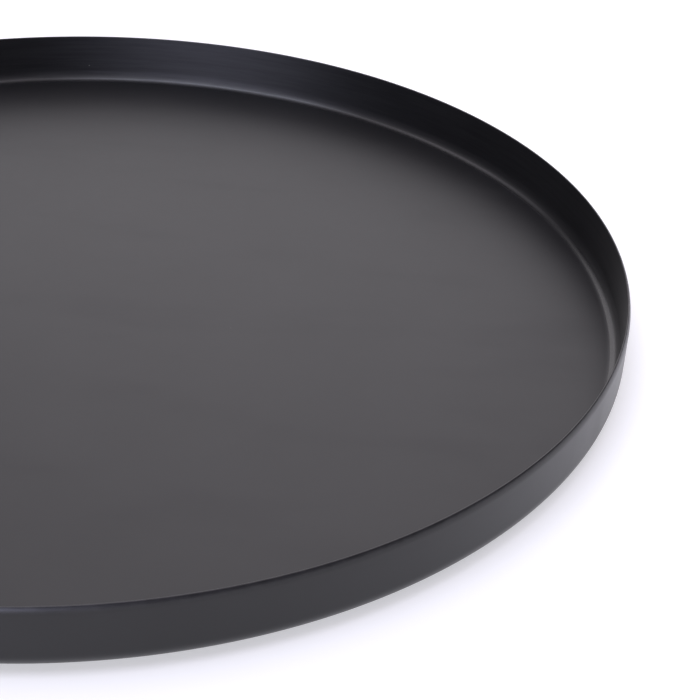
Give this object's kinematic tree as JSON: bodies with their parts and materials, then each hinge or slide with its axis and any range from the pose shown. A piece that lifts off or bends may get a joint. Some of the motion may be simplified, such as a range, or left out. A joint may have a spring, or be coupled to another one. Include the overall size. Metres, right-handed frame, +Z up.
{
  "type": "round serving tray",
  "caption": "Round metal serving tray with a flat base and a low upright wall, coated satin black, on small anti-slip pads.",
  "frame": {"origin": "centre of the tray on the surface that its pads stand on", "axes": "+Z up along the tray's axis, out of its open side; +X and +Y run between the pads, which are at 45 degrees to them"},
  "size_m": [0.3599, 0.36, 0.022],
  "materials": {
    "coated_steel": "satin powder coat",
    "pad_rubber": "matte",
    "adhesive": "satin film"
  },
  "bodies": {
    "root": {"tray_body": "coated_steel", "anti_slip_pad_1": "pad_rubber", "anti_slip_pad_2": "pad_rubber", "anti_slip_pad_3": "pad_rubber", "anti_slip_pad_4": "pad_rubber", "adhesive_film_1": "adhesive", "adhesive_film_2": "adhesive", "adhesive_film_3": "adhesive", "adhesive_film_4": "adhesive"}
  },
  "joints": []
}
